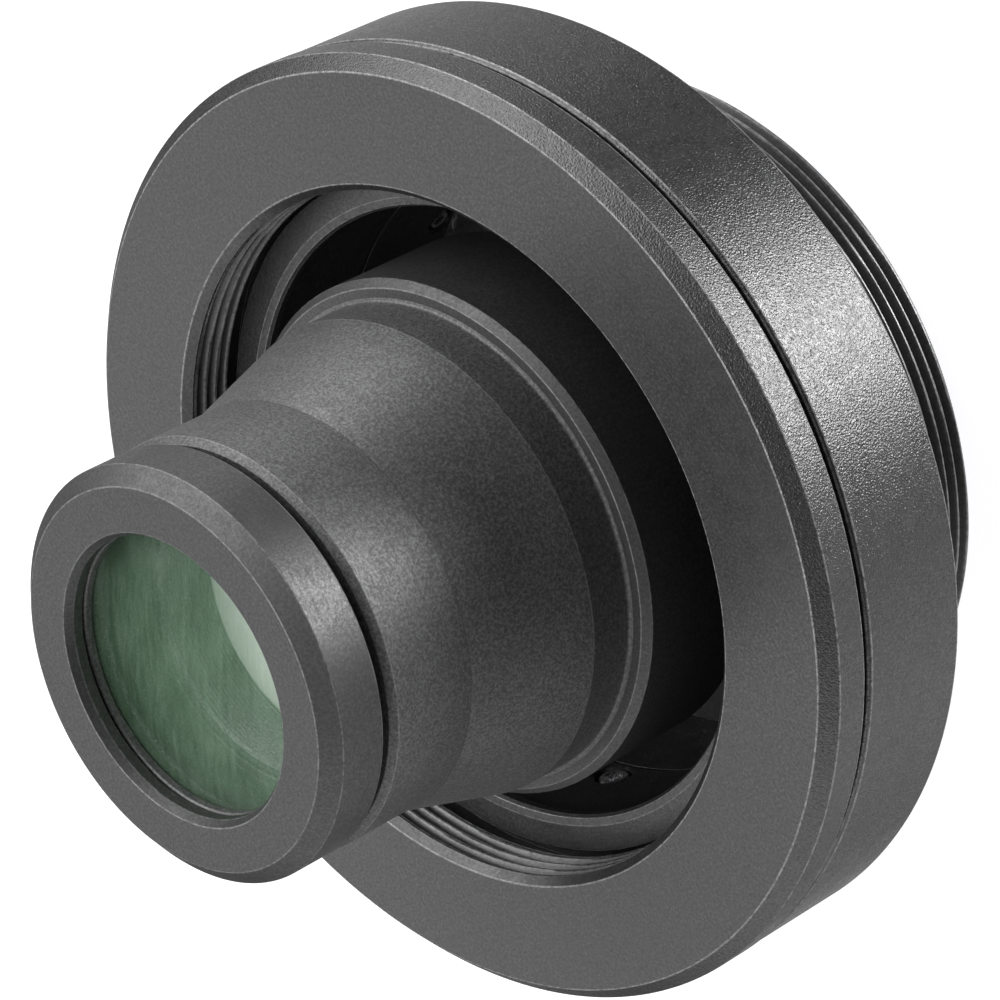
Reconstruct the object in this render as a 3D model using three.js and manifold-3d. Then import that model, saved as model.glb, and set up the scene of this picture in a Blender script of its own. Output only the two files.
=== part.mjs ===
// A focal reducer lens for a large telescope: a three.js model in millimetres, +Z up.
//
// It stands on its rear rim, with the optical axis along +Z and the lens nose on top. Nearly
// every piece is turned on a lathe about that axis. From the outside in it is:
//   - a housing, made of a rear adapter with the male thread, a wide body and a clamp sleeve;
//   - a coupling ring with the female thread, held captive by the sleeve but free to turn;
//   - a lens cell, made of a carrier, a rear cell and a nose tube, standing clear in the middle.

import * as THREE from "three";
import { mergeVertices } from "three/addons/utils/BufferGeometryUtils.js";
import Module from "manifold-3d";

const wasm = await Module();
wasm.setup();

// ---------------------------------------------------------------- driving dimensions (mm)

const INCH = 25.4;
const HEIGHT = 81; // rear rim to nose face
const RING_RADIUS = 55; // the coupling ring, the widest piece
const BODY_RADIUS = 54.9;
const BODY_REAR = 19.3; // height of the body's rear shoulder above the rim
const BODY_FRONT = 34.15;
const SEAM = 0.7; // open gap between the body and the coupling ring
const RING_FRONT = 40.7; // front face of the coupling ring
const THREAD_PITCH = INCH / 16; // both threads have 16 turns to the inch
const THREAD_MAJOR = (3.29 * INCH) / 2; // the male thread at the rear
const THREAD_MINOR = 40.88;
const THREAD_DEPTH = 0.93; // of the female thread in the coupling ring
const MOUTH_RADIUS = 40.88; // the coupling ring's mouth, at the roots of its female thread
const WELL_RADIUS = 36.3; // wall of the annular well round the lens cell
const CELL_RADIUS = 30.05;
const BARREL_RADIUS = 23.6;
const APERTURE_RADIUS = 15.9;

const FIT = 0.15; // radial clearance between two turned pieces, wider than a facet's sag
const GAP = 0.1; // clearance between two faces that rest on each other
const EDGE = 0.3; // small edge chamfer
const SEGMENTS = 36; // facets round every turned piece

// Heights inside the housing that several pieces share.
const SLEEVE_BOTTOM = 18.5;
const LEDGE = 27; // the body's ledge, under the captive ring's flange
const FLANGE_BOTTOM = 28.15;
const FLANGE_TOP = 30.4;
const SEAT = 32.93; // front face of the clamp sleeve, where the telescope's rear cell seats
const SKIRT_RADIUS = 47; // outside of the coupling ring's skirt
const SLEEVE_RADIUS = 38.7; // outside of the clamp sleeve
const SLEEVE_HEAD_RADIUS = 39.9; // goes in through the coupling ring's thread
const CARRIER_RADIUS = 38.25;
const CARRIER_TUBE_RADIUS = 25;
const CARRIER_TUBE_BORE = 22;
const CARRIER_FLOOR = 2.5;

// Heights in the lens cell.
const CELL_FRONT = 40.65; // front face of the rear cell, where the nose tube comes out
const BAND_TOP = 46.25; // the nose tube's plain band ends and its cone starts
const CONE_TOP = 60.7;
const BARREL_TOP = 71.4;
const CAP_BOTTOM = 73.3;
const BAND_RADIUS = 27.6;
const REAR_BORE_RADIUS = 26.6; // lens bore of the rear cell
const FRONT_BORE_RADIUS = 18.4; // lens bore of the nose tube
const SPACER_BORE_RADIUS = 17.2; // bore below it, for the second lens and its baffle sleeve
const SECOND_LENS_SHOULDER = 54.5;
const BAFFLE_BOTTOM = 60.4; // foot of the baffle sleeve, on top of the second lens

// ---------------------------------------------------------------- materials

function finish(colour, roughness, metalness) {
  return new THREE.MeshStandardMaterial({ color: colour, roughness, metalness });
}

const anodised = finish(0x3a3a3b, 0.5, 0.6);
const blasted = finish(0x444445, 0.62, 0.6);
const blackenedSteel = finish(0x55565a, 0.35, 0.9);
const springSteel = finish(0x9a9da2, 0.3, 1);
const slipPlastic = finish(0xdfe0dc, 0.6, 0);
const coatedGlass = finish(0x58785f, 0.05, 0);

// ---------------------------------------------------------------- turning and cutting

// A solid of revolution about Z, from a closed outline of [radius, height] points.
function turned(outline, segments = SEGMENTS) {
  const points = outline.map(([radius, height]) => new THREE.Vector2(radius, height));
  const onAxis = outline[0][0] === 0;
  if (!onAxis) points.push(points[0].clone());
  const geometry = new THREE.LatheGeometry(points, segments);
  geometry.rotateX(Math.PI / 2);
  return solid(geometry);
}

// A manifold solid from a three.js geometry, with its faces turned to point outwards.
function solid(geometry) {
  geometry.deleteAttribute("normal");
  geometry.deleteAttribute("uv");
  const merged = mergeVertices(geometry, 1e-4);
  const vertices = Float32Array.from(merged.attributes.position.array);
  const triangles = withoutSlivers(Array.from(merged.index.array));
  if (signedVolume(vertices, triangles) < 0) triangles.reverse();
  return new wasm.Manifold(
    new wasm.Mesh({ numProp: 3, vertProperties: vertices, triVerts: Uint32Array.from(triangles) }),
  );
}

// Leaves out the triangles that collapse to a line where an outline meets the axis.
function withoutSlivers(triangles) {
  const kept = [];
  for (let i = 0; i < triangles.length; i += 3) {
    const [a, b, c] = triangles.slice(i, i + 3);
    if (a !== b && b !== c && c !== a) kept.push(a, b, c);
  }
  return kept;
}

function signedVolume(vertices, triangles) {
  const corner = (index) => new THREE.Vector3().fromArray(vertices, 3 * index);
  let volume = 0;
  for (let i = 0; i < triangles.length; i += 3) {
    const [a, b, c] = triangles.slice(i, i + 3).map(corner);
    volume += a.dot(b.cross(c)) / 6;
  }
  return volume;
}

function geometryOf(manifold) {
  const mesh = manifold.getMesh();
  const geometry = new THREE.BufferGeometry();
  geometry.setAttribute("position", new THREE.BufferAttribute(mesh.vertProperties, 3));
  geometry.setIndex(new THREE.BufferAttribute(mesh.triVerts, 1));
  geometry.computeVertexNormals();
  return geometry;
}

// Thread ridges as points of an outline, from the first root upwards.
function ridges(root, crest, start, turns) {
  const points = [];
  for (let turn = 0; turn < turns; turn += 1) {
    points.push([root, start + turn * THREAD_PITCH]);
    points.push([crest, start + (turn + 0.5) * THREAD_PITCH]);
  }
  points.push([root, start + turns * THREAD_PITCH]);
  return points;
}

// Heights along a spherical lens surface, from its rim inwards to the axis. A positive bulge
// stands up from the rim and a negative one sinks below it.
function lensSurface(rimRadius, rimHeight, bulge) {
  const steps = 3;
  const points = [];
  for (let step = 0; step <= steps; step += 1) {
    const radius = rimRadius * (1 - step / steps);
    points.push([radius, rimHeight + bulge * (1 - (radius / rimRadius) ** 2)]);
  }
  return points;
}

function lens(radius, bottomRim, bottomBulge, topRim, topBulge) {
  const bottom = lensSurface(radius, bottomRim, bottomBulge).reverse();
  return turned([...bottom, ...lensSurface(radius, topRim, topBulge)]);
}

function flatRing(innerRadius, outerRadius, bottom, top) {
  return turned([
    [innerRadius, bottom],
    [outerRadius, bottom],
    [outerRadius, top],
    [innerRadius, top],
  ]);
}

// A cylinder along the radius at the given angle, between two distances from the axis.
function radialCylinder(radius, inner, outer, height, angle, segments) {
  const geometry = new THREE.CylinderGeometry(radius, radius, outer - inner, segments);
  geometry.rotateZ(-Math.PI / 2);
  geometry.translate((inner + outer) / 2, 0, height);
  geometry.rotateZ(THREE.MathUtils.degToRad(angle));
  return solid(geometry);
}

// ---------------------------------------------------------------- radial grub screws

const SCREW_CLEARANCE = 0.1;

const sleeveScrews = {
  radius: 2,
  hexRadius: 1.15,
  length: 2.1,
  tip: SLEEVE_RADIUS - 0.05,
  height: 20.95,
  angles: [33.8, 153.8, 273.8],
};

const carrierScrews = {
  radius: 1.5,
  hexRadius: 0.87,
  length: 1.75,
  tip: CARRIER_RADIUS - 0.05,
  height: 6.6,
  angles: [24.8, 144.8, 264.8],
};

function grubScrew(screws, angle) {
  const inner = screws.tip - screws.length;
  const socketDepth = 0.6 * screws.length;
  const shank = radialCylinder(screws.radius, inner, screws.tip, screws.height, angle, 20);
  const socket = radialCylinder(
    screws.hexRadius, inner - 1, inner + socketDepth, screws.height, angle, 6,
  );
  return shank.subtract(socket);
}

function drilled(piece, screws, innerRadius, outerRadius) {
  const drillRadius = screws.radius + SCREW_CLEARANCE;
  for (const angle of screws.angles) {
    const drill = radialCylinder(
      drillRadius, innerRadius - 1, outerRadius + 1, screws.height, angle, 20,
    );
    piece = piece.subtract(drill);
  }
  return piece;
}

// ---------------------------------------------------------------- housing

// The neck: male thread, relief and plain shank that screws into the body from behind.
function rearAdapter() {
  const shank = THREAD_MAJOR - 0.08;
  return turned([
    [37, 0],
    [40.4, 0],
    ...ridges(THREAD_MINOR, THREAD_MAJOR, 0.41, 6),
    [40.3, 10.2],
    [40.3, 12.2],
    [shank, 12.5],
    [shank, 24],
    [SLEEVE_RADIUS + EDGE, 24],
    [SLEEVE_RADIUS + EDGE, 18.2],
    [CARRIER_RADIUS + FIT, 18.2],
    [CARRIER_RADIUS + FIT, CARRIER_FLOOR - GAP],
    [37, CARRIER_FLOOR - GAP],
  ]);
}

// The wide bead-blasted body, with a pocket in front for the captive ring's skirt.
function housingBody() {
  const bore = THREAD_MAJOR + FIT;
  return turned([
    [bore, BODY_REAR],
    [BODY_RADIUS - EDGE, BODY_REAR],
    [BODY_RADIUS, BODY_REAR + EDGE],
    [BODY_RADIUS, BODY_FRONT - EDGE],
    [BODY_RADIUS - EDGE, BODY_FRONT],
    [SKIRT_RADIUS + EDGE, BODY_FRONT],
    [SKIRT_RADIUS + EDGE, LEDGE],
    [SLEEVE_RADIUS + FIT, LEDGE],
    [SLEEVE_RADIUS + FIT, 24.15],
    [bore, 24.15],
  ]);
}

// Screws into the body from the front. Its head traps the coupling ring's inner flange, and
// its front face is the seat for the telescope.
function clampSleeve() {
  const headBottom = FLANGE_TOP + 0.45;
  const lipRadius = 35.72;
  const sleeve = turned([
    [WELL_RADIUS, SLEEVE_BOTTOM],
    [SLEEVE_RADIUS, SLEEVE_BOTTOM],
    [SLEEVE_RADIUS, headBottom],
    [SLEEVE_HEAD_RADIUS - EDGE, headBottom],
    [SLEEVE_HEAD_RADIUS, headBottom + EDGE],
    [SLEEVE_HEAD_RADIUS, SEAT - EDGE],
    [SLEEVE_HEAD_RADIUS - EDGE, SEAT],
    [36.7, SEAT],
    [lipRadius, SEAT - 0.4],
    [lipRadius, SEAT - 1.4],
    [WELL_RADIUS, headBottom],
  ]);
  return drilled(sleeve, sleeveScrews, WELL_RADIUS, SLEEVE_RADIUS);
}

// ---------------------------------------------------------------- captive coupling

// Front flange with the female thread, a skirt in the body's pocket and an inward flange.
function couplingRing() {
  const bevel = 1.65;
  const reliefRadius = 42.3;
  const threadCrest = MOUTH_RADIUS - THREAD_DEPTH;
  return turned([
    [SLEEVE_RADIUS + 0.45, FLANGE_BOTTOM],
    [SKIRT_RADIUS, FLANGE_BOTTOM],
    [SKIRT_RADIUS, BODY_FRONT + SEAM],
    [RING_RADIUS - EDGE, BODY_FRONT + SEAM],
    [RING_RADIUS, BODY_FRONT + SEAM + EDGE],
    [RING_RADIUS, RING_FRONT - bevel],
    [RING_RADIUS - bevel, RING_FRONT],
    [MOUTH_RADIUS, RING_FRONT],
    [threadCrest, RING_FRONT - THREAD_DEPTH],
    ...ridges(threadCrest, MOUTH_RADIUS, 34.2, 3).reverse(),
    [reliefRadius, 34],
    [reliefRadius, FLANGE_TOP],
    [SLEEVE_RADIUS + 0.45, FLANGE_TOP],
  ]);
}

// A flat strip bent into shallow waves round the axis, which keeps the ring from rattling.
function waveSpring() {
  const thickness = 0.22;
  const waves = 4;
  const amplitude = 0.16;
  const middle = LEDGE + 0.36;
  const inner = SLEEVE_HEAD_RADIUS;
  const outer = SKIRT_RADIUS - 0.5;
  const strip = flatRing(inner, outer, middle - thickness / 2, middle + thickness / 2);
  return strip.warp((vertex) => {
    vertex[2] += amplitude * Math.cos(waves * Math.atan2(vertex[1], vertex[0]));
  });
}

// ---------------------------------------------------------------- lens cell

// A shallow cup that fills the foot of the well.
function cellCarrier() {
  const floorTop = CARRIER_FLOOR + 2;
  const bore = CARRIER_TUBE_RADIUS + FIT;
  const cup = turned([
    [bore, CARRIER_FLOOR],
    [CARRIER_RADIUS, CARRIER_FLOOR],
    [CARRIER_RADIUS, SLEEVE_BOTTOM - 0.4],
    [WELL_RADIUS, SLEEVE_BOTTOM - 0.4],
    [WELL_RADIUS, floorTop],
    [bore, floorTop],
  ]);
  return drilled(cup, carrierScrews, WELL_RADIUS, CARRIER_RADIUS);
}

// Stands in the middle of the carrier and holds the rear cell.
function carrierTube() {
  return flatRing(CARRIER_TUBE_BORE, CARRIER_TUBE_RADIUS, CARRIER_FLOOR, 27.4);
}

// The drum that holds the rear lens pair and takes the nose tube in its mouth.
function rearCell() {
  const bottom = 23.65;
  const mouthRadius = BAND_RADIUS + FIT;
  const chamfer = 0.87;
  return turned([
    [CARRIER_TUBE_RADIUS + FIT, bottom],
    [CELL_RADIUS - 0.5, bottom],
    [CELL_RADIUS, bottom + 0.5],
    [CELL_RADIUS, CELL_FRONT - chamfer],
    [CELL_RADIUS - chamfer, CELL_FRONT],
    [mouthRadius, CELL_FRONT],
    [mouthRadius, 36.5],
    [REAR_BORE_RADIUS, 36.5],
    [REAR_BORE_RADIUS, 28],
    [CARRIER_TUBE_RADIUS + FIT, 28],
  ]);
}

// Plain band, cone and barrel outside; lens bores and the light path inside.
function noseTube() {
  return turned([
    [23, 34],
    [REAR_BORE_RADIUS - FIT, 34],
    [REAR_BORE_RADIUS - FIT, 36.7],
    [BAND_RADIUS, 36.7],
    [BAND_RADIUS, BAND_TOP],
    [BARREL_RADIUS, CONE_TOP],
    [BARREL_RADIUS, BARREL_TOP],
    [22.9, CAP_BOTTOM - 1.15],
    [21.6, CAP_BOTTOM - 1.15],
    [21.6, 78.5],
    [FRONT_BORE_RADIUS, 78.5],
    [FRONT_BORE_RADIUS, 68],
    [SPACER_BORE_RADIUS, 68],
    [SPACER_BORE_RADIUS, SECOND_LENS_SHOULDER],
    [15.6, SECOND_LENS_SHOULDER],
    [15.6, 53],
    [21, 46],
    [21, 42],
    [23, 42],
  ]);
}

// The end cap, screwed over the nose tube, with the front aperture.
function noseCap() {
  const capRadius = 23.5;
  const innerRadius = 21.6 + FIT;
  return turned([
    [innerRadius, CAP_BOTTOM],
    [capRadius - EDGE, CAP_BOTTOM],
    [capRadius, CAP_BOTTOM + EDGE],
    [capRadius, 79.3],
    [21.55, HEIGHT],
    [APERTURE_RADIUS + 0.6, HEIGHT],
    [APERTURE_RADIUS, HEIGHT - 0.95],
    [APERTURE_RADIUS, 78.8],
    [innerRadius, 78.8],
  ]);
}

// Spaces the front lenses from the second one, and is ridged inside to trap stray light.
function baffleSleeve() {
  const radius = SPACER_BORE_RADIUS - FIT;
  const bottom = BAFFLE_BOTTOM;
  const ridgePitch = 1.2;
  const outline = [];
  for (let ridge = 0; ridge < 6; ridge += 1) {
    outline.push([16.3, bottom + ridge * ridgePitch]);
    outline.push([15.8, bottom + (ridge + 0.8) * ridgePitch]);
  }
  return turned([[radius, bottom], [radius, bottom + 6 * ridgePitch], ...outline.reverse()]);
}

// A meniscus lens, seated on the inner shoulder of the nose tube.
function secondLens() {
  const rimBottom = SECOND_LENS_SHOULDER + GAP;
  const rimTop = BAFFLE_BOTTOM - 0.3;
  return lens(SPACER_BORE_RADIUS - FIT, rimBottom, 0.8, rimTop, 1.2);
}

// ---------------------------------------------------------------- assembly

const assembly = new THREE.Group();

function add(name, manifold, material) {
  const mesh = new THREE.Mesh(geometryOf(manifold), material);
  mesh.name = name;
  assembly.add(mesh);
}

add("rear_adapter", rearAdapter(), anodised);
add("housing_body", housingBody(), blasted);
add("clamp_sleeve", clampSleeve(), anodised);

add("coupling_ring", couplingRing(), anodised);
add("front_slip_washer", flatRing(38.85, 39.8, FLANGE_TOP + 0.05, FLANGE_TOP + 0.4), slipPlastic);
add("rear_slip_washer", flatRing(40, 46.8, FLANGE_BOTTOM - 0.43, FLANGE_BOTTOM - 0.05), slipPlastic);
add("wave_spring", waveSpring(), springSteel);

add("cell_carrier", cellCarrier(), anodised);
add("carrier_tube", carrierTube(), anodised);
add("rear_light_stop", flatRing(18.5, CARRIER_TUBE_BORE - FIT, 3, 5.5), anodised);
add("rear_cell", rearCell(), anodised);
add("rear_flint_lens", lens(REAR_BORE_RADIUS - FIT, 28.1, 0.9, 29.3, 1.6), coatedGlass);
add("rear_crown_lens", lens(REAR_BORE_RADIUS - FIT, 29.4, 1.6, 32.6, 1), coatedGlass);
add("rear_lens_spacer", flatRing(24.6, REAR_BORE_RADIUS - FIT, 32.75, 33.9), anodised);

add("nose_tube", noseTube(), anodised);
add("middle_lens", lens(22.85, 38.2, -1.1, 41.3, -1.2), coatedGlass);
add("middle_retaining_ring", flatRing(20.6, 22.85, 35.4, 37.9), anodised);
add("second_lens", secondLens(), coatedGlass);
add("baffle_sleeve", baffleSleeve(), anodised);
add("front_flint_lens", lens(FRONT_BORE_RADIUS - FIT, 68.1, 1.7, 73.9, -1.8), coatedGlass);
add("front_crown_lens", lens(FRONT_BORE_RADIUS - FIT, 74, -1.8, 76.8, 1.9), coatedGlass);
add("front_retaining_ring", flatRing(15.95, FRONT_BORE_RADIUS - FIT, 77.4, 78.4), anodised);
add("nose_cap", noseCap(), anodised);

sleeveScrews.angles.forEach((angle, index) => {
  add(`sleeve_lock_screw_${index + 1}`, grubScrew(sleeveScrews, angle), blackenedSteel);
});
carrierScrews.angles.forEach((angle, index) => {
  add(`carrier_lock_screw_${index + 1}`, grubScrew(carrierScrews, angle), blackenedSteel);
});

export default assembly;
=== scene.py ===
import math

import bpy
import numpy as np
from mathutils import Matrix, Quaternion, Vector


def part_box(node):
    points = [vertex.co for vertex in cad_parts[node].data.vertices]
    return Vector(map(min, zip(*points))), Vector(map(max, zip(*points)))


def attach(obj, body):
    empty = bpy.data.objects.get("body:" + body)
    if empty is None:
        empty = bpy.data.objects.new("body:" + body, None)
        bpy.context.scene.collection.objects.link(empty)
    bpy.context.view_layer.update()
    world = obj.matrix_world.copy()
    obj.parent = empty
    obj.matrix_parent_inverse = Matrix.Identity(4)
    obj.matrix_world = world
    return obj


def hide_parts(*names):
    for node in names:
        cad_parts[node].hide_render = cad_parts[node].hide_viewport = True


# A focal reducer lens for a telescope, standing on its rear rim with the lens nose on top.
# Every CAD piece is replaced by a more finely made one of the same size. Outlines are in
# millimetres as (radius, height) points, counterclockwise, and the meshes in metres.

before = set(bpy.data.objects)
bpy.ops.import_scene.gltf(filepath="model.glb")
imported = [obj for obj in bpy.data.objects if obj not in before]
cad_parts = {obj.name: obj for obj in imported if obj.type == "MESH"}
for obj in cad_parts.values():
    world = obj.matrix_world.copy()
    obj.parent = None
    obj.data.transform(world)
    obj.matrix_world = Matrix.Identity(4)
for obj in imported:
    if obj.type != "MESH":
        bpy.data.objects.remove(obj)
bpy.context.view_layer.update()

MM = 0.001
SEGMENTS = 288  # facets round a turned piece
FIT = 0.15  # radial clearance between two turned pieces, in mm
THREAD_PITCH = 25.4 / 16
THREAD_DEPTH = 0.9
MOUTH_RADIUS = 40.88  # of the coupling ring's mouth, at the outer end of its chamfer
MOUTH_CHAMFER = 0.93
WELL_RADIUS = 36.3  # of the open well round the lens cell
LEDGE_RADIUS = 38.85  # of the body's inner ledge, round the clamp sleeve
BLASTED_HEIGHT = 0.00006  # of the bead-blasted bumps, in metres


def reach(node):
    """(outer radius, lowest, highest) of a turned CAD piece, in mm."""
    low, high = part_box(node)
    return high.x / MM, low.z / MM, high.z / MM


# ---------------------------------------------------------------- camera


def make_camera():
    """Looks down at the object from -Y, rolled so that the nose points to the lower left."""
    lens_mm = 174.4
    roll = math.radians(-117.3)
    place = Vector((0.0011, -0.4108, 0.3709))
    target = Vector((0.0011, 0, 0.0305))
    data = bpy.data.cameras.new("camera")
    data.lens = lens_mm
    data.sensor_width = 36
    camera = bpy.data.objects.new("camera", data)
    camera.location = place
    level = (target - place).to_track_quat("-Z", "Y")
    camera.rotation_mode = "QUATERNION"
    camera.rotation_quaternion = level @ Quaternion((0, 0, 1), roll)
    bpy.context.scene.collection.objects.link(camera)
    bpy.context.scene.camera = camera


# ---------------------------------------------------------------- node helpers


def add(tree, kind, inputs=None, **settings):
    """A new node. An input is a number, a colour or the socket that feeds it."""
    made = tree.nodes.new(kind)
    for key, value in settings.items():
        setattr(made, key, value)
    for key, value in (inputs or {}).items():
        if isinstance(value, bpy.types.NodeSocket):
            tree.links.new(value, made.inputs[key])
        else:
            made.inputs[key].default_value = value
    return made


def math_node(tree, operation, first, second=0.0):
    return add(tree, "ShaderNodeMath", {0: first, 1: second}, operation=operation).outputs[0]


def remap(tree, value, low, high, to_low, to_high, smooth=False):
    """value between low and high, carried to between to_low and to_high."""
    sockets = {"Value": value, "From Min": low, "From Max": high, "To Min": to_low, "To Max": to_high}
    kind = "SMOOTHSTEP" if smooth else "LINEAR"
    return add(tree, "ShaderNodeMapRange", sockets, interpolation_type=kind).outputs[0]


def blend_colours(tree, share, first, second):
    mix = tree.nodes.new("ShaderNodeMix")
    mix.data_type = "RGBA"
    for index, value in ((0, share), (6, first), (7, second)):
        if isinstance(value, bpy.types.NodeSocket):
            tree.links.new(value, mix.inputs[index])
        else:
            mix.inputs[index].default_value = value
    return mix.outputs[2]


def grey(value):
    return (value, value, value * 1.02, 1)


def object_coordinates(tree):
    return add(tree, "ShaderNodeTexCoord").outputs["Object"]


def noise(tree, coordinates, scale, detail=3.0, roughness=0.5, distortion=0.0):
    sockets = {
        "Vector": coordinates,
        "Scale": scale,
        "Detail": detail,
        "Roughness": roughness,
        "Distortion": distortion,
    }
    return add(tree, "ShaderNodeTexNoise", sockets).outputs[0]


def stretched(tree, coordinates, scales):
    """The coordinates, each multiplied by its own scale."""
    return math_vector(tree, "MULTIPLY", coordinates, scales)


def math_vector(tree, operation, first, second):
    return add(tree, "ShaderNodeVectorMath", {0: first, 1: second}, operation=operation).outputs[0]


def turned_coordinates(tree, coordinates):
    """(angle, radius, height) about the lens axis, for marks that run round a piece."""
    split = add(tree, "ShaderNodeSeparateXYZ", {0: coordinates}).outputs
    angle = math_node(tree, "ARCTAN2", split[1], split[0])
    across = math_node(tree, "MULTIPLY", split[0], split[0])
    along = math_node(tree, "MULTIPLY", split[1], split[1])
    radius = math_node(tree, "SQRT", math_node(tree, "ADD", across, along))
    return add(tree, "ShaderNodeCombineXYZ", {0: angle, 1: radius, 2: split[2]}).outputs[0]


def edge_share(tree):
    """1 on a rounded outer edge, -1 in an inner corner and 0 elsewhere, from the mesh."""
    return add(tree, "ShaderNodeAttribute", attribute_name="edge").outputs["Fac"]


def new_material(name):
    material = bpy.data.materials.new(name)
    material.use_nodes = True
    tree = material.node_tree
    return material, tree, tree.nodes["Principled BSDF"]


# ---------------------------------------------------------------- materials


def pebbles(tree, place):
    """The height of a bead-blasted surface: a close field of small rounded bumps."""
    cells = add(
        tree,
        "ShaderNodeTexVoronoi",
        {"Vector": place, "Scale": 4200, "Smoothness": 0.7},
        feature="SMOOTH_F1",
    ).outputs["Distance"]
    swell = noise(tree, place, 5000, detail=1.5)
    return math_node(tree, "SUBTRACT", swell, math_node(tree, "MULTIPLY", cells, 0.55))


def anodised(name, tone, roughness, grain_height, marks=0.0, wear_and_sheen=0.5, blasted_from=None):
    """Black anodised aluminium: fine grain, cloudy tone, turning marks, outer edges paler from wear
    and from a painted sheen, and inner corners darkened with painted shade.
    Beyond the radius blasted_from the surface is bead-blasted, as it is all over at 0."""
    material, tree, shader = new_material(name)
    place = object_coordinates(tree)
    round_axis = turned_coordinates(tree, place)
    cloud = noise(tree, place, 90, detail=4)
    blotches = noise(tree, place, 420, detail=3)
    grain = noise(tree, place, 3000, detail=2, roughness=0.8)
    rings = noise(tree, stretched(tree, round_axis, (2.5, 5200, 5200)), 1, detail=3)

    plain = blend_colours(tree, cloud, grey(tone * 0.7), grey(tone * 1.3))
    speckled = blend_colours(tree, remap(tree, grain, 0.4, 0.72, 0, 0.9), plain, grey(tone * 5))
    edge = edge_share(tree)
    patchy = remap(tree, noise(tree, place, 1500), 0.35, 0.6, 0.3, 1)
    # Outer edges are blended towards pale grey: partly wear, partly a painted sheen that stands in
    # for the edge highlights.
    sheen_and_wear_share = math_node(tree, "MULTIPLY", remap(tree, edge, 0.15, 0.9, 0, wear_and_sheen), patchy)
    edge_wear_and_sheen = blend_colours(tree, sheen_and_wear_share, speckled, grey(0.3))
    # Painted shade: inner corners and thread roots are darkened towards a third of the tone.
    corner_shade = remap(tree, edge, -1, -0.2, 0.6, 0)
    colour = blend_colours(tree, corner_shade, edge_wear_and_sheen, grey(tone * 0.3))
    tree.links.new(colour, shader.inputs["Base Color"])

    cloudy = remap(tree, blotches, 0.3, 0.7, roughness - 0.04, roughness + 0.04)
    rough = math_node(tree, "ADD", cloudy, remap(tree, grain, 0.3, 0.7, 0.08, -0.08))
    marked = math_node(tree, "ADD", rough, remap(tree, rings, 0.3, 0.7, -0.1 * marks, 0.1 * marks))
    tree.links.new(marked, shader.inputs["Roughness"])

    turned_height = math_node(tree, "ADD", grain, math_node(tree, "MULTIPLY", rings, marks))
    height = math_node(tree, "MULTIPLY", turned_height, grain_height)
    if blasted_from is not None:
        radius = add(tree, "ShaderNodeSeparateXYZ", {0: round_axis}).outputs[1]
        outside = math_node(tree, "GREATER_THAN", radius, blasted_from)
        bumps = math_node(tree, "MULTIPLY", pebbles(tree, place), BLASTED_HEIGHT)
        height = math_node(tree, "ADD", height, math_node(tree, "MULTIPLY", bumps, outside))
    bump = add(tree, "ShaderNodeBump", {"Height": height, "Distance": 1.0, "Strength": 1.0})
    tree.links.new(bump.outputs[0], shader.inputs["Normal"])
    shader.inputs["IOR"].default_value = 1.65
    return material


def steel(name, tone, roughness):
    """Bare or blackened steel with fine turning marks and a painted glint: its edges are drawn
    brighter.
    """
    material, tree, shader = new_material(name)
    place = object_coordinates(tree)
    scratches = noise(tree, stretched(tree, place, (1, 1, 6)), 2500, detail=3)
    cloud = noise(tree, place, 400, detail=3)
    plain = blend_colours(tree, cloud, grey(tone * 0.7), grey(tone * 1.2))
    # Painted glint: edges are blended towards a brighter grey.
    edge_glint = grey(min(tone * 2.2, 0.8))
    colour = blend_colours(tree, remap(tree, edge_share(tree), 0.1, 1, 0, 0.8), plain, edge_glint)
    tree.links.new(colour, shader.inputs["Base Color"])
    rough = remap(tree, scratches, 0.3, 0.7, roughness - 0.08, roughness + 0.1)
    tree.links.new(rough, shader.inputs["Roughness"])
    bump = add(tree, "ShaderNodeBump", {"Height": scratches, "Distance": 0.00001})
    tree.links.new(bump.outputs[0], shader.inputs["Normal"])
    shader.inputs["Metallic"].default_value = 0.9
    return material


def plastic(name, tone):
    """White slip plastic, slightly mottled."""
    material, tree, shader = new_material(name)
    place = object_coordinates(tree)
    cloud = noise(tree, place, 500, detail=4)
    tree.links.new(
        blend_colours(tree, cloud, grey(tone * 0.9), grey(tone)), shader.inputs["Base Color"]
    )
    tree.links.new(remap(tree, cloud, 0.3, 0.7, 0.45, 0.6), shader.inputs["Roughness"])
    bump = add(tree, "ShaderNodeBump", {"Height": cloud, "Distance": 0.00002})
    tree.links.new(bump.outputs[0], shader.inputs["Normal"])
    return material


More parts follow.
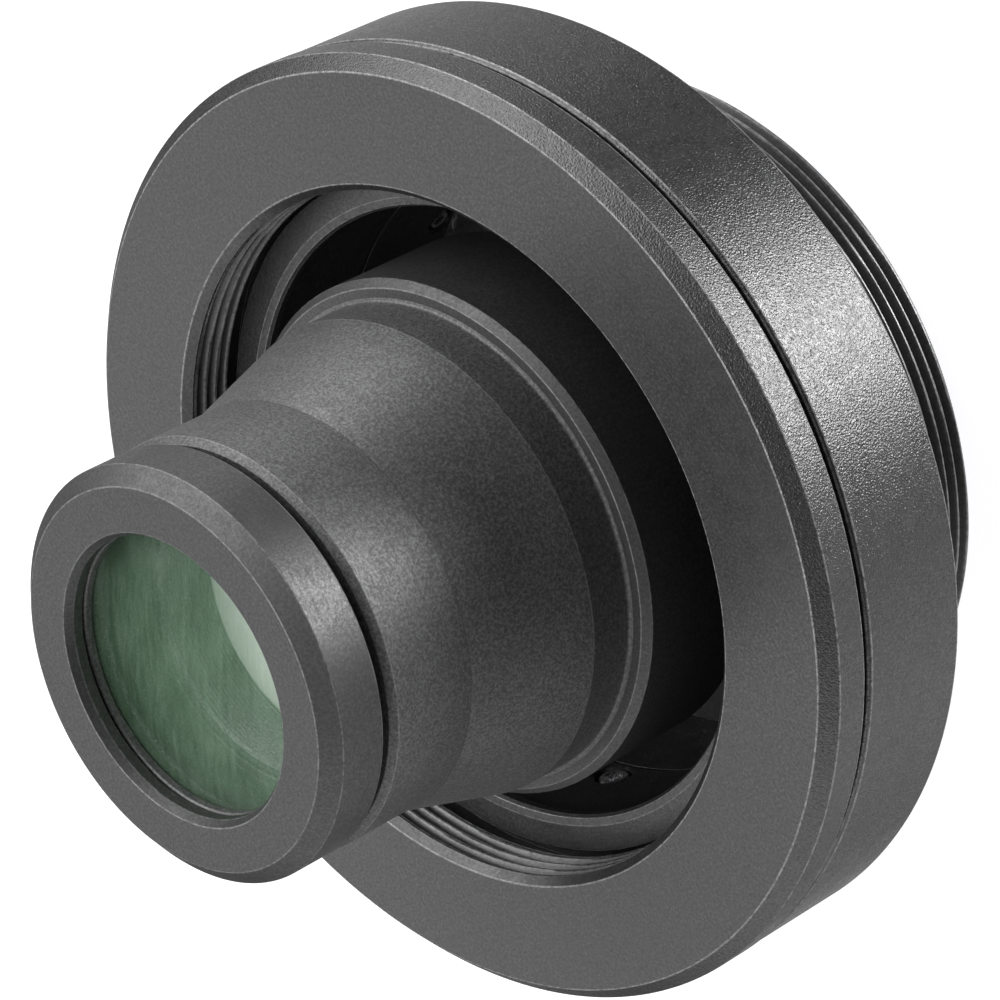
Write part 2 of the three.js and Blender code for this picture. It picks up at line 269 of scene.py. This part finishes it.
def coated_glass(name, tint, painted_reflection, streaks=0.4):
    """Glass with an anti-reflection coating, whose reflection is painted: each surface is drawn
    opaque in the tint over the given share, and the share rises in fine wavy streaks, as on glass
    that was wiped one way."""
    material, tree, shader = new_material(name)
    place = object_coordinates(tree)
    wiping = {"Vector": place, "Angle": math.radians(39)}
    across = add(tree, "ShaderNodeVectorRotate", wiping, rotation_type="Z_AXIS").outputs[0]
    drift = add(tree, "ShaderNodeTexNoise", {"Vector": place, "Scale": 220.0}).outputs[1]
    bent = math_vector(tree, "MULTIPLY", drift, (0, 0.004, 0))
    warped = math_vector(tree, "ADD", stretched(tree, across, (0.55, 4, 1)), bent)
    wiped = noise(tree, warped, 380, detail=4, roughness=0.6)
    cloud = noise(tree, place, 130, detail=2)
    specks = noise(tree, place, 4200, detail=1)
    broad = math_node(tree, "ADD", wiped, cloud)
    faint_specks = math_node(tree, "MULTIPLY", specks, 0.2)
    haze = math_node(tree, "ADD", math_node(tree, "MULTIPLY", broad, 0.4), faint_specks)
    # Painted reflection: each surface is drawn this share opaque in the tint, paler in the streaks,
    # in place of the coating's reflection.
    most = min(painted_reflection * (1 + streaks), 1)
    share = remap(tree, haze, 0.38, 0.62, painted_reflection * (1 - streaks), most)
    pale = tuple(0.6 + 0.4 * channel for channel in tint)
    colour = blend_colours(tree, remap(tree, haze, 0.48, 0.7, 0, 0.35), (*tint, 1), (*pale, 1))
    tree.links.new(colour, shader.inputs["Base Color"])
    tree.links.new(share, shader.inputs["Alpha"])
    tree.links.new(remap(tree, wiped, 0.3, 0.7, 0.2, 0.3), shader.inputs["Roughness"])
    return material


MATERIALS = {
    "satin_anodise": anodised("satin_anodise", 0.01, 0.5, 0.00002, marks=0.3, wear_and_sheen=0.35),
    "ring_anodise": anodised(
        "ring_anodise", 0.012, 0.33, 0.000012, marks=0.1, wear_and_sheen=0.7, blasted_from=0.0533
    ),
    "nose_anodise": anodised("nose_anodise", 0.026, 0.5, 0.00004, marks=0.5, wear_and_sheen=0.35),
    "blasted_anodise": anodised("blasted_anodise", 0.01, 0.3, 0.00001, wear_and_sheen=0.8, blasted_from=0.0),
    "black_anodise": anodised("black_anodise", 0.014, 0.36, 0.00002, marks=0.5, wear_and_sheen=0.5),
    "baffle_black": anodised("baffle_black", 0.03, 0.45, 0.00002, marks=0.3, wear_and_sheen=0.1),
    "screw_steel": steel("screw_steel", 0.8, 0.25),
    "spring_steel": steel("spring_steel", 0.55, 0.25),
    "slip_plastic": plastic("slip_plastic", 0.8),
    "front_glass": coated_glass("front_glass", (0.33, 0.6, 0.36), 0.09),
    "clear_glass": coated_glass("clear_glass", (0.4, 0.6, 0.45), 0.02, streaks=0.3),
    # Painted light: the second lens is drawn nearly opaque and pale, standing in for the bright
    # backdrop seen through the lenses.
    "deep_glass_painted_light": coated_glass("deep_glass_painted_light", (0.9, 0.97, 0.9), 0.95, streaks=0.05),
}


# ---------------------------------------------------------------- turned meshes


class Thread:
    """A run of helical thread along an outline, from one height to another."""

    def __init__(self, start, end, root, crest, phase=0.0):
        self.start, self.end = start, end
        self.root, self.crest = root, crest
        self.phase = phase

    def rows(self):
        per_turn = 14
        count = max(4, round(abs(self.end - self.start) / THREAD_PITCH * per_turn))
        return np.linspace(self.start, self.end, count + 1)

    def depth(self, height, angle):
        """How far out of the root the flank stands, 0 to 1, fading out at both ends."""
        turn = (height / THREAD_PITCH - angle / (2 * np.pi) + self.phase) % 1.0
        flank = np.clip((1 - np.abs(2 * turn - 1) - 0.16) / 0.68, 0, 1)
        low, high = sorted((self.start, self.end))
        fade = np.clip(np.minimum(height - low, high - height) / (0.35 * THREAD_PITCH), 0, 1)
        return flank * fade

    def radius(self, height, angle):
        return self.root + (self.crest - self.root) * self.depth(height, angle)


def corner_points(before, corner, after, ease):
    """A rounded corner of an outline as (radius, height, normal, edge share) rows."""
    arriving, leaving = corner - before, after - corner
    reach_in, reach_out = np.linalg.norm(arriving), np.linalg.norm(leaving)
    arriving, leaving = arriving / reach_in, leaving / reach_out
    normal_in = np.array([arriving[1], -arriving[0]])
    normal_out = np.array([leaving[1], -leaving[0]])
    turn = arriving[0] * leaving[1] - arriving[1] * leaving[0]
    gentle = abs(turn) < 0.15 and arriving @ leaving > 0
    if gentle:
        normal = normal_in + normal_out
        return [(*corner, *(normal / np.linalg.norm(normal)), 0.0)]
    cut = min(ease, 0.42 * reach_in, 0.42 * reach_out)
    steps = 5
    rows = []
    for step in range(steps + 1):
        share = step / steps
        start, end = corner - arriving * cut, corner + leaving * cut
        point = (1 - share) ** 2 * start + 2 * share * (1 - share) * corner + share**2 * end
        normal = (1 - share) * normal_in + share * normal_out
        edge = math.copysign(4 * share * (1 - share), turn)
        rows.append((*point, *(normal / np.linalg.norm(normal)), edge))
    return rows


def outline_rows(outline, ease):
    """The outline's rows for every point, as (rows, the Thread that each row lies on or None)."""
    plain = [(i, np.array(p, float)) for i, p in enumerate(outline) if not isinstance(p, Thread)]
    on_axis = plain[0][1][0] == 0
    rows, threads = [], []
    for position, (index, corner) in enumerate(plain):
        before = plain[position - 1][1]
        after = plain[(position + 1) % len(plain)][1]
        ends = on_axis and position in (0, len(plain) - 1)
        upright = -1.0 if position == 0 else 1.0
        made = [(*corner, 0.0, upright, 0.0)] if ends else corner_points(before, corner, after, ease)
        rows.extend(made)
        threads.extend([None] * len(made))
        follows = outline[index + 1] if index + 1 < len(outline) else None
        if isinstance(follows, Thread):
            heights = follows.rows()
            rows.extend((follows.root, height, 0.0, 0.0, 0.0) for height in heights)
            threads.extend([follows] * len(heights))
    return np.array(rows), threads, on_axis


def grid_of(rows, threads, angles, wave):
    """Points, normals and edge shares on the grid of angles by outline rows."""
    count = len(rows)
    radius = np.tile(rows[:, 0], (len(angles), 1))
    height = np.tile(rows[:, 1], (len(angles), 1))
    normals = np.tile(rows[:, 2:4], (len(angles), 1, 1))
    edges = np.tile(rows[:, 4], (len(angles), 1))
    small = 0.01
    for column in range(count):
        thread = threads[column]
        if thread is None:
            continue
        level = rows[column, 1]
        radius[:, column] = thread.radius(level, angles)
        slope = thread.radius(level + small, angles) - thread.radius(level - small, angles)
        outward = 1.0 if thread.start < thread.end else -1.0
        tilt = np.stack([np.full(len(angles), 2 * small), -slope], axis=1) * outward
        normals[:, column] = tilt / np.linalg.norm(tilt, axis=1)[:, None]
        # Thread crests take the pale edge colour (wear and painted sheen) and thread roots take the
        # painted corner shade.
        depth = thread.depth(level, angles)
        standing = depth if outward > 0 else 1 - depth
        edges[:, column] = 1.6 * (standing - 0.5)
    height = height + wave(angles)[:, None]
    cosine, sine = np.cos(angles)[:, None], np.sin(angles)[:, None]
    points = np.stack([radius * cosine, radius * sine, height], axis=2) * MM
    directions = np.stack([normals[..., 0] * cosine, normals[..., 0] * sine, normals[..., 1]], axis=2)
    return points, directions, edges


def no_wave(angles):
    return np.zeros(len(angles))


def turned(name, outline, ease=0.12, wave=no_wave):
    """A solid of revolution about Z from an outline, with rounded corners and real threads.
    An outline that starts and ends on the axis makes a solid without a hole."""
    rows, threads, on_axis = outline_rows(outline, ease)
    angles = np.arange(SEGMENTS) * 2 * np.pi / SEGMENTS
    points, normals, edges = grid_of(rows, threads, angles, wave)
    columns = len(rows)

    def corner(turn, column):
        if on_axis and column in (0, columns - 1):
            turn = 0
        return (turn % SEGMENTS) * columns + column % columns

    faces = []
    last = columns - 1 if on_axis else columns
    for turn in range(SEGMENTS):
        for column in range(last):
            four = [
                corner(turn, column),
                corner(turn + 1, column),
                corner(turn + 1, column + 1),
                corner(turn, column + 1),
            ]
            faces.append(list(dict.fromkeys(four)))
    mesh = bpy.data.meshes.new(name)
    mesh.from_pydata(points.reshape(-1, 3).tolist(), [], faces)
    share = mesh.attributes.new("edge", "FLOAT", "POINT")
    share.data.foreach_set("value", edges.ravel().astype(np.float32))
    mesh.shade_smooth()
    mesh.normals_split_custom_set_from_vertices(normals.reshape(-1, 3).tolist())
    piece = bpy.data.objects.new(name, mesh)
    bpy.context.scene.collection.objects.link(piece)
    if on_axis:
        remove_loose(piece)
    return piece


def remove_loose(piece):
    """Drops the axis points that no face uses."""
    bpy.context.view_layer.objects.active = piece
    piece.select_set(True)
    bpy.ops.object.mode_set(mode="EDIT")
    bpy.ops.mesh.select_all(action="SELECT")
    bpy.ops.mesh.delete_loose(use_verts=True, use_edges=True, use_faces=False)
    bpy.ops.object.mode_set(mode="OBJECT")
    piece.select_set(False)


def stand_in(piece, node, material, body="housing"):
    """The piece stands for a CAD node, takes its finish and rides on its body."""
    piece.data.materials.append(MATERIALS[material])
    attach(piece, body)
    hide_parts(node)


def flat_ring(inner, outer, bottom, top):
    return [(inner, bottom), (outer, bottom), (outer, top), (inner, top)]


# ---------------------------------------------------------------- radial screws and holes


def ring_of(distance, radius_at, sides):
    """A ring of points across the local X axis. radius_at gives the radius at an angle."""
    ring = []
    for side in range(sides):
        angle = 2 * math.pi * side / sides
        radius = radius_at(angle)
        ring.append((distance, radius * math.cos(angle), radius * math.sin(angle)))
    return ring


def bridged_mesh(name, rings, edges):
    """A closed mesh from rings of points in order, with a flat cap at both ends."""
    sides = len(rings[0])
    points = [point for ring in rings for point in ring]
    faces = [list(range(sides))[::-1]]
    for row in range(len(rings) - 1):
        for side in range(sides):
            ahead = (side + 1) % sides
            low, high = row * sides, (row + 1) * sides
            faces.append([low + side, low + ahead, high + ahead, high + side])
    faces.append([(len(rings) - 1) * sides + side for side in range(sides)])
    mesh = bpy.data.meshes.new(name)
    mesh.from_pydata([tuple(c * MM for c in point) for point in points], [], faces)
    share = mesh.attributes.new("edge", "FLOAT", "POINT")
    share.data.foreach_set("value", [value for value in edges for _ in range(sides)])
    mesh.shade_smooth()
    mesh.set_sharp_from_angle(angle=math.radians(35))
    return mesh


def grub_screw_mesh(name, radius, hex_radius, length):
    """A cup-point grub screw along local X, with its hex socket facing -X at X = 0."""
    sides = 48
    depth = 0.6 * length
    chamfer = 0.18 * radius

    def circle(value):
        return lambda angle: value

    def hexagon(value):
        flat = math.pi / 3
        return lambda angle: value * math.cos(flat / 2) / math.cos(angle % flat - flat / 2)

    rings = [
        ring_of(depth, hexagon(hex_radius * 0.35), sides),
        ring_of(depth * 0.92, hexagon(hex_radius), sides),
        ring_of(hex_radius * 0.12, hexagon(hex_radius), sides),
        ring_of(0, circle(hex_radius * 1.1), sides),
        ring_of(0, circle(radius - chamfer - 0.05), sides),
        ring_of(0.04, circle(radius - chamfer), sides),
        ring_of(chamfer, circle(radius - 0.04), sides),
    ]
    edges = [-1, -0.6, 0.4, 1, 0.6, 1, 0.3]
    turns = int((length - 2 * chamfer) / 0.35)
    for turn in range(turns):
        start = chamfer + (turn + 0.5) * (length - 2 * chamfer) / turns
        rings.append(ring_of(start - 0.08, circle(radius - 0.14), sides))
        rings.append(ring_of(start + 0.08, circle(radius - 0.02), sides))
        edges.extend([-0.8, 0.6])
    rings.append(ring_of(length - chamfer, circle(radius - 0.05), sides))
    rings.append(ring_of(length, circle(radius - chamfer), sides))
    rings.append(ring_of(length, circle(radius * 0.5), sides))
    rings.append(ring_of(length - 0.2 * radius, circle(radius * 0.12), sides))
    edges.extend([0.3, 0.8, 0.3, -0.5])
    return bridged_mesh(name, rings, edges)


def place_radially(piece, inner, height, angle):
    piece.location = Vector((math.cos(angle), math.sin(angle), 0)) * inner * MM
    piece.location.z = height * MM
    piece.rotation_euler = (0, 0, angle)


def angle_and_height(node):
    """Where a radial CAD screw sits: its angle and its height, in mm."""
    low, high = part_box(node)
    middle = (low + high) / 2
    return math.atan2(middle.y, middle.x), middle.z / MM


def grub_screws(family, radius, hex_radius, length, tip):
    """The three screws of one family. Returns their angles and height."""
    places = []
    for number in (1, 2, 3):
        node = f"{family}_{number}"
        angle, height = angle_and_height(node)
        name = f"{node}_socketed"
        piece = bpy.data.objects.new(name, grub_screw_mesh(name, radius, hex_radius, length))
        bpy.context.scene.collection.objects.link(piece)
        place_radially(piece, tip - length, height, angle)
        stand_in(piece, node, "screw_steel")
        places.append((angle, height))
    return places


def drill(piece, places, radius, inner, outer):
    """Cuts radial holes with a countersunk inner rim into a turned piece."""
    cutters = []
    for angle, height in places:
        sink = 0.35
        rings = [
            ring_of(-1, lambda a: radius + sink + 1, 40),
            ring_of(sink, lambda a: radius, 40),
            ring_of(outer - inner + 1, lambda a: radius, 40),
        ]
        mesh = bridged_mesh("cutter", rings, [0, 0, 0])
        cutter = bpy.data.objects.new("cutter", mesh)
        bpy.context.scene.collection.objects.link(cutter)
        place_radially(cutter, inner, height, angle)
        cutters.append(cutter)
        cut = piece.modifiers.new("drill", "BOOLEAN")
        cut.operation = "DIFFERENCE"
        cut.solver = "EXACT"
        cut.object = cutter
    bpy.context.view_layer.update()
    evaluated = piece.evaluated_get(bpy.context.evaluated_depsgraph_get())
    drilled = bpy.data.meshes.new_from_object(evaluated)
    piece.modifiers.clear()
    piece.data = drilled
    for cutter in cutters:
        bpy.data.objects.remove(cutter)
    drilled.shade_smooth()
    drilled.set_sharp_from_angle(angle=math.radians(40))
    weighted = piece.modifiers.new("weighted_normals", "WEIGHTED_NORMAL")
    weighted.keep_sharp = True
    weighted.weight = 80


# ---------------------------------------------------------------- housing


def make_rear_adapter():
    """Neck with the male thread, its relief groove and the plain shank above."""
    outer, rim, top = reach("rear_adapter")
    shank = outer - 0.08  # just inside the thread's crests
    root = 40.88
    crest = root + THREAD_DEPTH
    relief, chamber = 40.3, 38.4
    outline = [
        (37, rim),
        (40.4, rim),
        (root, 0.45),
        Thread(0.5, 9.9, root, crest, phase=0.25),
        (root, 9.95),
        (relief, 10.3),
        (relief, 12.2),
        (shank, 12.6),
        (shank, top),
        (39, top),
        (39, 18.2),
        (chamber, 18.2),
        (chamber, 2.4),
        (37, 2.4),
    ]
    stand_in(turned("rear_adapter_threaded", outline), "rear_adapter", "black_anodise")


def make_housing_body():
    """Wide bead-blasted body with the pocket for the captive ring's skirt."""
    outer, rear, front = reach("housing_body")
    bore, pocket, ledge = 41.93, 47.3, 27
    ledge_foot = 24.15
    outline = [
        (bore, rear),
        (outer - 0.45, rear),
        (outer, rear + 0.45),
        (outer, front - 0.35),
        (outer - 0.35, front),
        (pocket, front),
        (pocket, ledge),
        (LEDGE_RADIUS, ledge),
        (LEDGE_RADIUS, ledge_foot),
        (bore, ledge_foot),
    ]
    piece = turned("housing_body_blasted", outline, ease=0.18)
    stand_in(piece, "housing_body", "blasted_anodise")


def make_clamp_sleeve():
    """Sleeve whose head traps the ring. Its front face is the seat, with a raised inner lip."""
    head, bottom, seat = reach("clamp_sleeve")
    bore, outside, lip = WELL_RADIUS, 38.7, 35.72
    head_foot = 30.85
    tip = outside - 0.05  # the screws end just inside the sleeve's outer face
    above_screws, below_screws = 23.6, 18.9  # heights clear of the screws, for the drilling
    outline = [
        (bore, bottom),
        (outside, bottom),
        (outside, above_screws),
        (outside, head_foot),
        (head, head_foot),
        (head, seat),
        (36.9, seat),
        (lip + 0.3, seat - 0.15),
        (lip, seat - 0.5),
        (lip, seat - 1.4),
        (bore, head_foot),
        (bore, above_screws),
        (bore, below_screws),
    ]
    piece = turned("clamp_sleeve_drilled", outline, ease=0.1)
    places = grub_screws("sleeve_lock_screw", radius=2, hex_radius=1.15, length=2.1, tip=tip)
    drill(piece, places, 2.1, bore, outside)
    stand_in(piece, "clamp_sleeve", "black_anodise")


# ---------------------------------------------------------------- captive coupling


def make_coupling_ring():
    """Front flange with the female thread, over a skirt and an inward flange."""
    outer, bottom, front = reach("coupling_ring")
    seam = 34.85
    bevel = 1.65
    crest = MOUTH_RADIUS - MOUTH_CHAMFER
    flange, flange_bore, recess = 30.4, 39.15, 42.3
    thread_top, thread_foot = 39.6, 34.3
    outline = [
        (flange_bore, bottom),
        (47, bottom),
        (47, seam),
        (outer - 0.35, seam),
        (outer, seam + 0.35),
        (outer, front - bevel),
        (outer - bevel, front),
        (MOUTH_RADIUS, front),
        (crest, front - MOUTH_CHAMFER),
        (crest, thread_top + 0.02),
        Thread(thread_top, thread_foot, crest, crest + THREAD_DEPTH, phase=0.44),
        (crest, thread_foot - 0.05),
        (recess, thread_foot - 0.3),
        (recess, flange),
        (flange_bore, flange),
    ]
    piece = turned("coupling_ring_threaded", outline, ease=0.16)
    stand_in(piece, "coupling_ring", "ring_anodise", body="coupling")


def make_slip_parts():
    """The two slip washers and the wave spring that keep the ring from rattling."""
    for node in ("front_slip_washer", "rear_slip_washer"):
        outer, low, high = reach(node)
        inner = outer - (0.95 if node == "front_slip_washer" else 6.8)
        piece = turned(f"{node}_ring", flat_ring(inner, outer, low, high), ease=0.06)
        stand_in(piece, node, "slip_plastic")
    waves, amplitude, thickness = 4, 0.16, 0.22
    outer, low, high = reach("wave_spring")
    middle = (low + high) / 2
    strip = flat_ring(39.9, outer, middle - thickness / 2, middle + thickness / 2)

    def wave(angles):
        return amplitude * np.cos(waves * angles)

    piece = turned("wave_spring_strip", strip, ease=0.05, wave=wave)
    stand_in(piece, "wave_spring", "spring_steel")


# ---------------------------------------------------------------- lens cell


def make_carrier():
    """Cup at the foot of the well, the tube in its middle and the stop at its rear."""
    outer, floor, rim = reach("cell_carrier")
    tube = reach("carrier_tube")[0]
    bore = tube + FIT
    above_screws = 8.6  # a height clear of the screws, for the drilling
    tip = outer - 0.05
    inside = floor + 2
    cup = [
        (bore, floor),
        (outer, floor),
        (outer, above_screws),
        (outer, rim),
        (WELL_RADIUS, rim),
        (WELL_RADIUS, above_screws),
        (WELL_RADIUS, inside),
        (bore, inside),
    ]
    piece = turned("cell_carrier_drilled", cup, ease=0.04)
    places = grub_screws("carrier_lock_screw", radius=1.5, hex_radius=0.87, length=1.75, tip=tip)
    drill(piece, places, 1.6, WELL_RADIUS, outer)
    stand_in(piece, "cell_carrier", "black_anodise")

    _, bottom, top = reach("carrier_tube")
    pipe = turned("carrier_tube_bored", flat_ring(22, tube, bottom, top), ease=0.25)
    stand_in(pipe, "carrier_tube", "baffle_black")
    stop_outer, low, high = reach("rear_light_stop")
    knife_edge, bevel_start = 18.5, 19.6
    stop = [
        (knife_edge, low + 0.9),
        (bevel_start, low),
        (stop_outer, low),
        (stop_outer, high),
        (bevel_start, high),
        (knife_edge, low + 1.1),
    ]
    stand_in(turned("rear_light_stop_bevelled", stop), "rear_light_stop", "baffle_black")


def make_rear_cell():
    """Drum with a chamfered mouth that the nose tube stands in."""
    outer, bottom, top = reach("rear_cell")
    mouth, bore, aperture, chamfer = 27.75, 26.6, 25.15, 0.87
    lens_seat, tube_seat = 28, 36.5
    outline = [
        (aperture, bottom),
        (outer - 0.5, bottom),
        (outer, bottom + 0.5),
        (outer, top - chamfer),
        (outer - chamfer, top),
        (mouth + 0.3, top),
        (mouth, top - 0.3),
        (mouth, tube_seat),
        (bore, tube_seat),
        (bore, lens_seat),
        (aperture, lens_seat),
    ]
    stand_in(turned("rear_cell_chamfered", outline), "rear_cell", "satin_anodise")


def hollow_fillet(radius, level, size):
    """A concave quarter round where a flat at that level meets an upright wall."""
    steps = 12
    turns = [math.radians(270 - 90 * step / steps) for step in range(steps + 1)]
    middle = (radius + size, level + size)
    return [(middle[0] + size * math.cos(a), middle[1] + size * math.sin(a)) for a in turns]


def make_nose_tube():
    """Plain band, cone and barrel, with the stepped bore for the front lenses inside."""
    band, bottom, top = reach("nose_tube")
    barrel, groove, cap_thread = 23.6, 22.9, 21.6
    front_lens_bore, baffle_bore, throat = 18.4, 17.2, 15.6
    middle_lens_bore, spigot_bore, spigot = 21, 23, 26.45
    groove_floor = 72.15
    foot = reach("rear_cell")[2] + 0.03
    outline = [
        (spigot_bore, bottom),
        (spigot, bottom),
        (spigot, 36.7),
        (band, 36.7),
        (band, foot),
        (band + 0.5, foot),
        *hollow_fillet(band, foot + 0.03, 0.42),
        (band, 46.25),
        (barrel, 60.7),
        (barrel, 71.4),
        (groove, groove_floor),
        (cap_thread, groove_floor),
        (cap_thread, top),
        (front_lens_bore, top),
        (front_lens_bore, 68),
        (baffle_bore, 68),
        (baffle_bore, 54.5),
        (throat, 54.5),
        (throat, 53),
        (middle_lens_bore, 46),
        (middle_lens_bore, 42),
        (spigot_bore, 42),
    ]
    stand_in(turned("nose_tube_turned", outline), "nose_tube", "nose_anodise")


def make_nose_cap():
    """End cap with a broad chamfer, a flat face and the bevelled front aperture."""
    outer, bottom, face = reach("nose_cap")
    inner, aperture = 21.75, 15.9
    outline = [
        (inner, bottom),
        (outer - 0.35, bottom),
        (outer, bottom + 0.35),
        (outer, face - 1.7),
        (outer - 1.95, face),
        (aperture + 0.6, face),
        (aperture, face - 0.95),
        (aperture, face - 2.2),
        (inner, face - 2.2),
    ]
    stand_in(turned("nose_cap_bevelled", outline, ease=0.14), "nose_cap", "satin_anodise")


def make_baffle_sleeve():
    """Sleeve inside the barrel with fine sharp ridges."""
    outer, bottom, top = reach("baffle_sleeve")
    crest, root, pitch = 15.9, 16.3, 0.5
    outline = [(outer, bottom), (outer, top)]
    ridges = int((top - bottom) / pitch)
    for ridge in range(ridges):
        level = top - ridge * pitch
        outline.append((root, level - 0.05))
        outline.append((crest, level - pitch + 0.05))
    stand_in(turned("baffle_sleeve_ridged", outline, ease=0.03), "baffle_sleeve", "baffle_black")


def make_plain_rings():
    """Spacers and retaining rings between the lenses, with spanner bevels."""
    for node, inner in (
        ("rear_lens_spacer", 24.6),
        ("middle_retaining_ring", 20.6),
        ("front_retaining_ring", 15.95),
    ):
        outer, low, high = reach(node)
        bevelled = [
            (inner, low),
            (outer, low),
            (outer, high),
            (inner + 0.2, high),
            (inner, high - 0.2),
        ]
        stand_in(turned(f"{node}_bevelled", bevelled, ease=0.08), node, "baffle_black")


# ---------------------------------------------------------------- lenses


def surface(radius, rim, bulge):
    """Points along a lens surface, from its rim inwards to the axis."""
    steps = 24
    points = []
    for step in range(steps + 1):
        distance = radius * (1 - step / steps)
        points.append((distance, rim + bulge * (1 - (distance / radius) ** 2)))
    return points


def make_lens(node, bottom_rim, bottom_bulge, top_rim, top_bulge, glass="clear_glass"):
    """A lens of two curved surfaces, with a ground bevel round each rim. A bulge is how far
    the middle of a surface stands above its rim, in mm, and is negative where it dips."""
    radius = reach(node)[0]
    bevel = 0.2
    bottom = surface(radius - bevel, bottom_rim, bottom_bulge)[::-1]
    top = surface(radius - bevel, top_rim, top_bulge)
    rim = [(radius, bottom_rim + bevel), (radius, top_rim - bevel)]
    piece = turned(f"{node}_polished", [*bottom, *rim, *top], ease=0.04)
    stand_in(piece, node, glass)


def make_lenses():
    make_lens("rear_flint_lens", 28.1, 0.9, 29.3, 1.6, glass="front_glass")
    make_lens("rear_crown_lens", 29.4, 1.6, 32.6, 1)
    make_lens("middle_lens", 38.2, -1.1, 41.3, -1.2)
    # The second lens takes the nearly opaque pale glass that stands in for light seen through the
    # lenses.
    make_lens("second_lens", 54.6, 0.8, 60.1, 1.2, glass="deep_glass_painted_light")
    make_lens("front_flint_lens", 68.1, 1.7, 73.9, -1.8)
    make_lens("front_crown_lens", 74, -1.8, 76.8, 1.9, glass="front_glass")


# ---------------------------------------------------------------- floor and light


def make_floor():
    """A plain white floor that the camera sees. It lights nothing, as the studio does that."""
    size = 6.0
    mesh = bpy.data.meshes.new("floor")
    corners = [(-size, -size, 0), (size, -size, 0), (size, size, 0), (-size, size, 0)]
    mesh.from_pydata(corners, [], [(0, 1, 2, 3)])
    floor = bpy.data.objects.new("floor", mesh)
    floor.location.z = -0.0002
    bpy.context.scene.collection.objects.link(floor)
    material, _, shader = new_material("floor_white")
    shader.inputs["Base Color"].default_value = grey(0.3)
    shader.inputs["Roughness"].default_value = 1
    shader.inputs["Emission Color"].default_value = grey(1)
    shader.inputs["Emission Strength"].default_value = 0.93
    mesh.materials.append(material)
    for ray in ("diffuse", "glossy", "transmission", "shadow", "volume_scatter"):
        setattr(floor, f"visible_{ray}", False)


def softbox(tree, direction, spread, softness, brightness):
    """Brightness over a disc of the surroundings round a direction, with a soft rim."""
    towards = add(tree, "ShaderNodeTexCoord").outputs["Generated"]
    unit = tuple(Vector(direction).normalized())
    facing = add(tree, "ShaderNodeVectorMath", {0: towards, 1: unit}, operation="DOT_PRODUCT")
    inner = math.cos(math.radians(spread))
    outer = math.cos(math.radians(spread + softness))
    return remap(tree, facing.outputs["Value"], outer, inner, 0, brightness, smooth=True)


def make_studio():
    """Soft boxes round the object, as in a product studio. Directions are in the part's
    frame, where the camera stands at (0, -0.77, 0.64) and +X is up in its picture."""
    world = bpy.data.worlds.new("studio")
    bpy.context.scene.world = world
    world.use_nodes = True
    tree = world.node_tree
    boxes = [
        softbox(tree, (0.75, 0.06, 0.66), 22, 16, 4.2),
        softbox(tree, (0, 0, 1), 12, 10, 4.8),
        softbox(tree, (0.93, -0.1, -0.2), 12, 9, 5.4),
        softbox(tree, (0.06, 0.82, 0.57), 20, 14, 1.0),
        softbox(tree, (0.79, 0.45, -0.41), 16, 12, 0.4),
        softbox(tree, (0, 0.62, -0.78), 22, 16, 0.5),
        softbox(tree, (-0.8, 0.25, 0.42), 26, 16, 1.2),
        softbox(tree, (-0.82, -0.15, -0.55), 22, 16, 0.9),
        softbox(tree, (0.04, -0.76, -0.64), 9, 8, 22.0),
    ]
    light = 0.07
    for box in boxes:
        light = math_node(tree, "ADD", box, light)
    seen = add(tree, "ShaderNodeLightPath").outputs["Is Camera Ray"]
    strength = add(tree, "ShaderNodeMix", {0: seen, 2: light, 3: 1.1}).outputs[0]
    background = tree.nodes["Background"]
    background.inputs["Color"].default_value = (1, 1, 1, 1)
    tree.links.new(strength, background.inputs["Strength"])


# ---------------------------------------------------------------- assembly

make_camera()
make_studio()
make_floor()

make_rear_adapter()
make_housing_body()
make_clamp_sleeve()
make_coupling_ring()
make_slip_parts()
make_carrier()
make_rear_cell()
make_nose_tube()
make_nose_cap()
make_baffle_sleeve()
make_plain_rings()
make_lenses()

bpy.context.scene.view_settings.view_transform = "Standard"
